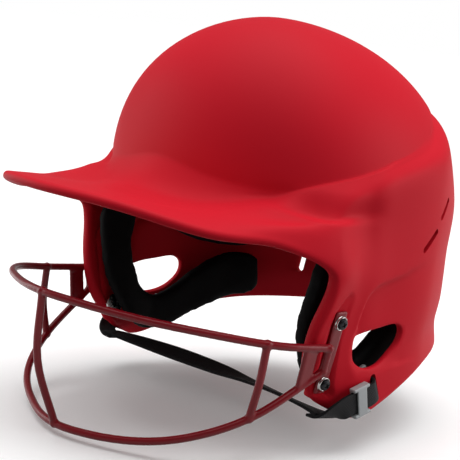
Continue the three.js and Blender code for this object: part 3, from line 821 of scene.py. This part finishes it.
def buildGuard():
    bm = bmesh.new()
    upper, lower = barPoints(guard["upper"]), barPoints(guard["lower"])
    wire = guard["wire"]
    tubes = [upper, lower]
    top, low = Vector(guard["upper"][-1]), Vector(guard["lower"][-1])
    tubes.append(bent(top, (top + low) / 2 + Vector((0, guard["centreBow"], 0)), low))
    welds = [top, low]
    for _, side in sides:
        def across(point, side=side):
            return Vector((side * point.x, point.y, point.z))

        cheekTop, cheekFoot = nearestInY(upper, guard["cheekY"]), nearestInY(lower, guard["cheekY"])
        middle = (cheekTop + cheekFoot) / 2 + Vector(guard["cheekBow"])
        tubes.append([across(p) for p in bent(cheekTop, middle, cheekFoot)])
        endTop, endFoot = Vector(guard["upper"][0]), Vector(guard["lower"][0])
        tubes.append([across(p) for p in bent(endTop, (endTop + endFoot) / 2, endFoot)])
        welds += [across(p) for p in (cheekTop, cheekFoot, endTop, endFoot)]
        plateTop, plateFoot = nearestInY(upper, guard["plateY"]), nearestInY(lower, guard["plateY"])
        run = plateTop - plateFoot
        lean = Matrix.Rotation(math.atan2(side * run.x, run.z), 4, "Y")
        size = (guard["plateThickness"], guard["plateWidth"], run.length + guard["plateOverrun"])
        addBlock(bm, size, lean, across((plateTop + plateFoot) / 2))
        tilt = Matrix.Rotation(side * mount["tilt"], 4, "Y")
        rest = mountMiddle - mountOut * guard["mountSink"]
        size = (guard["mountThickness"], guard["mountWidth"], guard["mountLength"])
        addBlock(bm, size, tilt, across(rest))
    for points in tubes:
        bm.from_mesh(tubeMesh(points, wire))
    for point in welds:
        bmesh.ops.create_icosphere(
            bm, subdivisions=3, radius=wire * guard["weldShare"], matrix=Matrix.Translation(point))
    holder = scratchObject(toMesh("guardParts", bm))
    addVoxels(holder, guard["voxel"])
    relax = holder.modifiers.new("relax", "CORRECTIVE_SMOOTH")
    relax.iterations = guard["relaxRounds"]
    relax.factor = 0.5
    relax.use_only_smooth = True
    mesh = bakedMesh(holder)
    nodes = ["upper_bar", "lower_bar", "centre_strut"]
    parts = ("cheek_strut", "end_bar", "side_plate", "mount_plate")
    for name, _ in sides:
        nodes += [f"{name}_{part}" for part in parts]
    finishPiece("faceGuard", mesh, guardRed, nodes, smoothAngle=80)


buildGuard()
print("face guard built")

# the foam pads, skinned from the plain solids
pads = {
    "crown_pad": {"piece": "crownPad", "voxel": 2.6, "swell": 1.2, "fill": 0.7},
    "forehead_pad": {"piece": "foreheadPad", "voxel": 2.6, "swell": 1.3, "fill": 0.7},
    "rear_pad": {"piece": "rearPad", "voxel": 2.6, "swell": 1.3, "fill": 0.7},
}
for sideName, _ in sides:
    for part, swell in (("jaw", 1.0), ("side", 1.2), ("upper", 1.2)):
        pads[f"{sideName}_{part}_pad"] = {
            "piece": f"{sideName}{part.capitalize()}Pad",
            "voxel": 2.2, "swell": swell, "fill": 0.75,
        }
padWork = {"frames": 20, "heart": inRow(0, 15, 105), "towardsShell": 0.3, "softenings": 3}
padCloth = {
    "quality": 4, "mass": 0.2, "tension_stiffness": 12, "compression_stiffness": 12,
    "bending_stiffness": 1.5, "use_pressure": True, "uniform_pressure_force": 4.0,
}


# fills a pad with air under a cloth skin, then lets no point move further than its swell
def puffedMesh(mesh, swell):
    rest = [v.co.copy() for v in mesh.vertices]
    holder = scratchObject(mesh)
    cloth = holder.modifiers.new("skin", "CLOTH")
    for setting, value in padCloth.items():
        setattr(cloth.settings, setting, value)
    cloth.settings.effector_weights.gravity = 0
    cloth.collision_settings.use_collision = False
    cloth.point_cache.frame_start = 1
    cloth.point_cache.frame_end = padWork["frames"]
    for n in range(1, padWork["frames"] + 1):
        bpy.context.scene.frame_set(n)
    puffed = bakedMesh(holder)
    bpy.context.scene.frame_set(1)
    for v, start in zip(puffed.vertices, rest):
        move = v.co - start
        outward = (start - padWork["heart"]).normalized()
        reach = move.dot(outward)
        if reach > padWork["towardsShell"] * mm:
            move -= outward * (reach - padWork["towardsShell"] * mm)
        if move.length > swell * mm:
            move *= swell * mm / move.length
        v.co = start + move
    return puffed


def buildPad(node, pad):
    bm = bmesh.new()
    bm.from_mesh(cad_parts[node].data)
    bmesh.ops.remove_doubles(bm, verts=bm.verts, dist=1e-6)
    holder = scratchObject(toMesh(node, bm, placed=True))
    addVoxels(holder, pad["voxel"])
    mesh = bakedMesh(holder)
    bm = bmesh.new()
    bm.from_mesh(mesh)
    for _ in range(padWork["softenings"]):
        eased(bm, bm.verts, 0.5)
    mesh = toMesh(node, bm, placed=True)
    mesh = puffedMesh(mesh, pad["swell"])
    holder = scratchObject(mesh)
    rounded = holder.modifiers.new("rounded", "SUBSURF")
    rounded.levels = rounded.render_levels = 1
    mesh = bakedMesh(holder)
    piece = finishPiece(pad["piece"], mesh, blackFoam, [node], smoothAngle=80)


for node, pad in pads.items():
    buildPad(node, pad)
print("pads built")


# the chin strap and the tab at each flap
webbing = {"width": 13, "thickness": 1.6, "rounding": 0.35, "sharp": 50}
strap = {
    "end": (93.2, -20.5, -0.2), "middle": (0, -11, -1.2), "steps": 96,
    "tilt": [
        (-1, 0.1), (-0.75, -0.12), (-0.4, -0.28), (0, -0.16),
        (0.3, 0.2), (0.6, 0.36), (0.85, 0.3), (1, 0.12),
    ],
}
tabAcross = (0.05, -0.447, 0.894)
runAcross = (0.03, -0.254, 0.967)
tab = {
    "steps": 80,
    "stations": [
        ((91.5, 13.5, 12.5), tabAcross), ((98.6, 13.3, 12.4), tabAcross),
        ((101.3, 11, 11.6), tabAcross), ((102.3, 7, 10.3), runAcross),
        ((102.1, -2, 7.95), runAcross), ((101.9, -11, 5.6), runAcross),
        ((100.2, -16.5, 3.1), (0.1, -0.7, 0.71)), ((97.2, -19.5, 0.7), (0.1, -0.95, 0.3)),
        ((93, -20.5, -1.5), (0, -1, 0.12)), ((86, -20.1, -2.2), (0, -1, 0.1)),
    ],
}


# a flat band along stations of (middle, width direction), with its own UV in millimetres
def bandMesh(name, middles, acrosses, strips=10):
    bm = bmesh.new()
    steps = len(middles) - 1
    bmesh.ops.create_grid(bm, x_segments=strips, y_segments=steps, size=0.5)
    lengths = [0]
    for a, b in zip(middles, middles[1:]):
        lengths.append(lengths[-1] + (b - a).length)
    layer = bm.loops.layers.uv.new("band")
    half = webbing["width"] / 2
    place = {}
    for v in bm.verts:
        k = round((v.co.y + 0.5) * steps)
        w = v.co.x * 2
        place[v] = (w * half, lengths[k])
        v.co = middles[k] + acrosses[k].normalized() * (w * half)
    for f in bm.faces:
        for loop in f.loops:
            loop[layer].uv = place[loop.vert]
    holder = scratchObject(toMesh(name, bm))
    thick = holder.modifiers.new("thickness", "SOLIDIFY")
    thick.thickness = webbing["thickness"] * mm
    thick.offset = 0
    thick.use_even_offset = True
    bevel = holder.modifiers.new("edges", "BEVEL")
    bevel.width = webbing["rounding"] * mm
    bevel.segments = 2
    bevel.limit_method = "ANGLE"
    bevel.angle_limit = math.radians(webbing["sharp"])
    bevel.use_clamp_overlap = True
    return bakedMesh(holder)


def buildStrap():
    middles, acrosses = [], []
    ex, ey, ez = strap["end"]
    _, my, mz = strap["middle"]
    stops = [Vector((s, k, 0)) for s, k in strap["tilt"]]
    for n in range(strap["steps"] + 1):
        s = -1 + 2 * n / strap["steps"]
        bow = 1 - s * s
        middles.append(Vector((s * ex, ey + (my - ey) * bow, ez + (mz - ez) * bow)))
        k = next(i for i in range(len(stops) - 1) if s <= stops[i + 1].x + 1e-9)
        u = (s - stops[k].x) / (stops[k + 1].x - stops[k].x)
        tilt = smoothPoint(stops, k + min(1, max(0, u))).y
        acrosses.append(Vector((0, -1, tilt)))
    mesh = bandMesh("strap", middles, acrosses)
    finishPiece(
        "chinStrap", mesh, blackWeb, ["chin_strap"], body="chin_strap", smoothAngle=60)


def buildTab(name, side):
    places = [Vector(p) for p, _ in tab["stations"]]
    widths = [Vector(a) for _, a in tab["stations"]]
    middles, acrosses = [], []
    for n in range(tab["steps"] + 1):
        t = n / tab["steps"] * (len(places) - 1)
        middle, across = smoothPoint(places, t), smoothPoint(widths, t)
        middles.append(Vector((side * middle.x, middle.y, middle.z)))
        acrosses.append(Vector((side * across.x, across.y, across.z)))
    mesh = bandMesh("tab", middles, acrosses)
    piece = finishPiece(
        f"{name}StrapTab", mesh, blackWeb, [f"{name}_strap_tab"], body=None, smoothAngle=60)
    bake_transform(piece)


buildStrap()
for sideName, side in sides:
    buildTab(sideName, side)
print("webbing built")

# the sliders, and the anchors inside the flaps
slider = {
    "width": 17.5, "rail": 1.9, "depth": 4.4, "bar": 2.6, "plate": 7, "voxel": 0.3,
    "middle": (102.1, -1.9, 8), "length": 12, "clear": 1.5, "seat": 0.2, "sheet": 1.2, "barShare": 0.8,
    "rounding": 0.45, "along": (0.0233, 0.967, 0.254),
}
anchor = {
    "size": (2.9, 20, 9), "middle": (89.6, 13.5, 12.5), "across": (0, -0.447, 0.894), "rounding": 0.8,
    "studs": (88.0, 13.5, 12.5), "studReach": 7.6, "studRadius": 1.7, "voxel": 0.35,
}


def onSide(place, side):
    return Vector((side * place[0], place[1], place[2]))


def tabFrame(side):
    along = onSide(slider["along"], side).normalized()
    across = onSide(runAcross, side).normalized()
    out = along.cross(across).normalized()
    if out.x * side < 0:
        out = -out
    across = out.cross(along)
    return Matrix((along, across, out)).transposed().to_4x4()


def remeshed(bm, voxel):
    holder = scratchObject(toMesh("scratch", bm))
    addVoxels(holder, voxel)
    relax = holder.modifiers.new("relax", "SMOOTH")
    relax.iterations = 2
    relax.factor = 0.5
    return bakedMesh(holder)


def buildSlider(name, side):
    bm = bmesh.new()
    turn = tabFrame(side)
    middle = onSide(slider["middle"], side)
    half = slider["width"] / 2 - slider["rail"] / 2
    reach = slider["length"] / 2 - slider["bar"] / 2
    level = slider["clear"] + slider["seat"]
    rail = (slider["length"], slider["rail"], slider["depth"])
    bar = (slider["bar"] * slider["barShare"], slider["width"] - 1, slider["sheet"])
    plate = (slider["plate"], slider["width"] - 1, slider["sheet"])
    blocks = [
        (rail, (0, half, 0)), (rail, (0, -half, 0)), (plate, (0, 0, level)),
        (bar, (reach, 0, -level)), (bar, (-reach, 0, -level)),
    ]
    for size, offset in blocks:
        addBlock(bm, size, turn, middle + turn.to_3x3() @ Vector(offset), slider["rounding"])
    mesh = remeshed(bm, slider["voxel"])
    finishPiece(
        f"{name}Slider", mesh, greyBuckle, [f"{name}_slider"],
        body=f"{name}_slider", smoothAngle=70)


def buildAnchor(name, side):
    bm = bmesh.new()
    out = Vector((side, 0, 0))
    across = Vector(anchor["across"]).normalized()
    turn = Matrix((out, across, out.cross(across))).transposed().to_4x4()
    addBlock(bm, anchor["size"], turn, onSide(anchor["middle"], side), anchor["rounding"])
    for end in (-1, 1):
        spot = Matrix.Translation(onSide(anchor["studs"], side) + across * anchor["studReach"] * end)
        bmesh.ops.create_uvsphere(
            bm, u_segments=16, v_segments=10, radius=anchor["studRadius"], matrix=spot)
    mesh = remeshed(bm, anchor["voxel"])
    finishPiece(
        f"{name}StrapAnchor", mesh, greyBuckle, [f"{name}_strap_anchor"], smoothAngle=70)


for sideName, side in sides:
    buildSlider(sideName, side)
    buildAnchor(sideName, side)
print("sliders and anchors built")

# screws, cup washers and tee nuts, each turned about its own axis
fastener = {
    "pitch": 35.5, "shank": 2.2, "head": 3.1, "headFoot": 2.3, "headTop": 4.0, "tip": -8.9,
    "washerOuter": 4.1, "washerFoot": 0.78, "washerTop": 2.2,
    "nutFace": -10.1, "flange": 6, "barrel": 3.5, "barrelTop": -2, "prong": 2.2,
}
recess = {"arm": (3.4, 0.8, 3), "turn": 0.4, "lift": 0.45, "apart": 1.001, "voxel": 0.12}


def mountPlace(side, up):
    middle = mountMiddle + mountUp * up
    outward, upward = mountOut, mountUp
    if side < 0:
        middle, outward, upward = mirrored(middle), mirrored(outward), mirrored(upward)
    across = upward.cross(outward)
    return Matrix.Translation(middle) @ Matrix((across, upward, outward)).transposed().to_4x4()


# a turned solid: a profile of (radius, height) from axis to axis, spun about Z
def turned(bm, profile, steps=40):
    verts = [bm.verts.new((r, 0, h)) for r, h in profile]
    edges = [bm.edges.new(pair) for pair in zip(verts, verts[1:])]
    if profile[0][0] > 0:
        edges.append(bm.edges.new((verts[-1], verts[0])))
    bmesh.ops.spin(
        bm, geom=verts + edges, cent=(0, 0, 0), axis=(0, 0, 1),
        angle=2 * math.pi, steps=steps, use_merge=True)
    bmesh.ops.remove_doubles(bm, verts=bm.verts, dist=1e-4)
    bmesh.ops.recalc_face_normals(bm, faces=bm.faces)


def placedMesh(bm, place, name):
    bmesh.ops.transform(bm, matrix=place, verts=bm.verts)
    return toMesh(name, bm)


def buildScrew(name, place, node):
    f = fastener
    bm = bmesh.new()
    turned(bm, [
        (0, f["tip"]), (f["shank"] - 0.4, f["tip"]),
        (f["shank"], f["tip"] + 0.4), (f["shank"], f["headFoot"]),
        (f["head"] - 0.2, f["headFoot"]), (f["head"], f["headFoot"] + 0.25),
        (f["head"] - 0.1, f["headTop"] - 0.9), (f["head"] - 0.5, f["headTop"] - 0.4),
        (f["head"] - 1.2, f["headTop"] - 0.12), (0.8, f["headTop"]), (0, f["headTop"]),
    ])
    holder = scratchObject(placedMesh(bm, place, name))
    tool = bmesh.new()
    for turn in (recess["turn"], recess["turn"] + math.pi / 2):
        made = bmesh.ops.create_cube(tool, size=1)
        arm = made["verts"]
        bmesh.ops.scale(tool, vec=recess["arm"], verts=arm)
        bmesh.ops.rotate(tool, cent=(0, 0, 0), matrix=Matrix.Rotation(turn, 3, "Z"), verts=arm)
        bmesh.ops.translate(tool, vec=(0, 0, f["headTop"] + recess["lift"]), verts=arm)
    # the second arm is a hair higher, so that no two faces lie in one plane
    bmesh.ops.scale(tool, vec=(1, 1, recess["apart"]), verts=arm)
    first = scratchObject(placedMesh(tool, place, "recess"))
    addVoxels(first, recess["voxel"])
    tool = scratchObject(bakedMesh(first))
    finishPiece(name, cutBy(holder, tool), darkScrew, [node], smoothAngle=35)


def buildWasher(name, place, node):
    f = fastener
    bm = bmesh.new()
    turned(bm, [
        (f["shank"] + 0.3, f["washerFoot"]), (f["washerOuter"] - 0.1, f["washerFoot"]),
        (f["washerOuter"], f["washerFoot"] + 0.15),
        (f["washerOuter"] - 0.25, f["washerFoot"] + 0.55),
        (f["head"] + 0.7, f["washerTop"] - 0.12), (f["head"] + 0.5, f["washerTop"]),
        (f["head"] + 0.25, f["washerTop"] - 0.1), (f["shank"] + 0.3, f["washerFoot"] + 0.5),
    ], steps=56)
    finishPiece(name, placedMesh(bm, place, name), brightNickel, [node], smoothAngle=50)


def buildTeeNut(name, place, node):
    f = fastener
    face, hole = f["nutFace"], f["shank"] + 0.2
    bm = bmesh.new()
    turned(bm, [
        (hole, face - 1.4), (f["flange"] - 0.3, face - 1.4),
        (f["flange"], face - 1.1), (f["flange"], face - 0.2),
        (f["flange"] - 0.2, face), (f["barrel"], face), (f["barrel"], f["barrelTop"] - 0.2),
        (f["barrel"] - 0.3, f["barrelTop"]), (hole, f["barrelTop"]),
    ], steps=48)
    for k in range(4):
        turn = Matrix.Rotation(k * math.pi / 2 + math.pi / 4, 3, "Z")
        made = bmesh.ops.create_cone(
            bm, segments=4, radius1=1.1, radius2=0.15, depth=f["prong"], cap_ends=True)
        shift = turn @ Vector((f["flange"] - 1.3, 0, 0))
        shift += Vector((0, 0, face + f["prong"] / 2 - 0.05))
        bmesh.ops.translate(bm, vec=shift, verts=made["verts"])
    finishPiece(name, placedMesh(bm, place, name), brightNickel, [node], smoothAngle=35)


for sideName, side in sides:
    for level, up in (("upper", fastener["pitch"] / 2), ("lower", -fastener["pitch"] / 2)):
        spot = mountPlace(side, up)
        start, node = f"{sideName}{level.capitalize()}", f"{sideName}_{level}"
        buildScrew(f"{start}Screw", spot, f"{node}_screw")
        buildWasher(f"{start}CupWasher", spot, f"{node}_cup_washer")
        buildTeeNut(f"{start}TeeNut", spot, f"{node}_tee_nut")
print("fasteners built")

# the floor, lights and camera
view = {
    "azimuth": 46, "elevation": 9, "roll": 6, "distance": 0.75, "target": (0, -14, 83),
    "lens": 100.956522, "sensor": 36,
}
floorPlace = {"drop": 0.004, "half": 30}
floorLook = {
    "Base Color": (0.9, 0.9, 0.9, 1), "Roughness": 0.9, "Specular IOR Level": 0.0,
    "Emission Color": (1, 1, 1, 1), "Emission Strength": 0.12,
}
lights = {"aim": (0, 0, -0.08), "size": 0.9, "sunPower": 2.6, "sunSoftness": 70, "world": 0.22}
sideLights = {"leftSide": ((-1.1, -0.6, 0.2), 6), "rightSide": ((0.9, 1.0, 0.3), 9)}


def buildStage():
    low = cadBox[0].z - floorPlace["drop"]
    bm = bmesh.new()
    bmesh.ops.create_grid(bm, x_segments=8, y_segments=8, size=floorPlace["half"])
    bmesh.ops.translate(bm, verts=bm.verts, vec=(0, 0, low))
    mesh = toMesh("floor", bm, placed=True)
    floor = newObject("floor", mesh)
    pale = bpy.data.materials.new("paleFloor")
    pale.use_nodes = True
    setInputs(pale.node_tree.nodes["Principled BSDF"], floorLook)
    mesh.materials.append(pale)
    floor.visible_diffuse = False


def buildLights():
    lamp = bpy.data.lights.new("overhead", "SUN")
    lamp.angle = math.radians(lights["sunSoftness"])
    lamp.energy = lights["sunPower"]
    newObject("overhead", lamp)
    for name, (place, power) in sideLights.items():
        lamp = bpy.data.lights.new(name, "AREA")
        lamp.shape = "RECTANGLE"
        lamp.size = lamp.size_y = lights["size"]
        lamp.energy = power
        holder = newObject(name, lamp)
        holder.location = place
        aim = Vector(lights["aim"]) - Vector(place)
        holder.rotation_euler = aim.to_track_quat("-Z", "Y").to_euler()
    world = bpy.data.worlds.new("studio")
    bpy.context.scene.world = world
    world.use_nodes = True
    nodes, link = world.node_tree.nodes, world.node_tree.links.new
    back = nodes["Background"]
    setInputs(back, {"Color": (1, 1, 1, 1), "Strength": lights["world"]})
    seen = nodes.new("ShaderNodeBackground")
    setInputs(seen, {"Color": (1, 1, 1, 1), "Strength": 1.0})
    path = nodes.new("ShaderNodeLightPath")
    mix = nodes.new("ShaderNodeMixShader")
    link(path.outputs["Is Camera Ray"], mix.inputs["Fac"])
    link(back.outputs[0], mix.inputs[1])
    link(seen.outputs[0], mix.inputs[2])
    link(mix.outputs[0], nodes["World Output"].inputs["Surface"])


def buildCamera():
    a, e, roll = (math.radians(view[k]) for k in ("azimuth", "elevation", "roll"))
    back = Vector((math.sin(a) * math.cos(e), -math.cos(a) * math.cos(e), math.sin(e)))
    right = Vector((math.cos(a), math.sin(a), 0))
    up = back.cross(right)
    across = right * math.cos(roll) + up * math.sin(roll)
    above = up * math.cos(roll) - right * math.sin(roll)
    lens = bpy.data.cameras.new("camera")
    lens.sensor_width = view["sensor"]
    lens.lens = view["lens"]
    holder = newObject("camera", lens)
    turn = Matrix((across, above, back)).transposed().to_4x4()
    place = inRow(*view["target"]) + back * view["distance"]
    holder.matrix_world = Matrix.Translation(place) @ turn
    bpy.context.scene.camera = holder


buildStage()
buildLights()
buildCamera()
bpy.context.scene.view_settings.view_transform = "Standard"
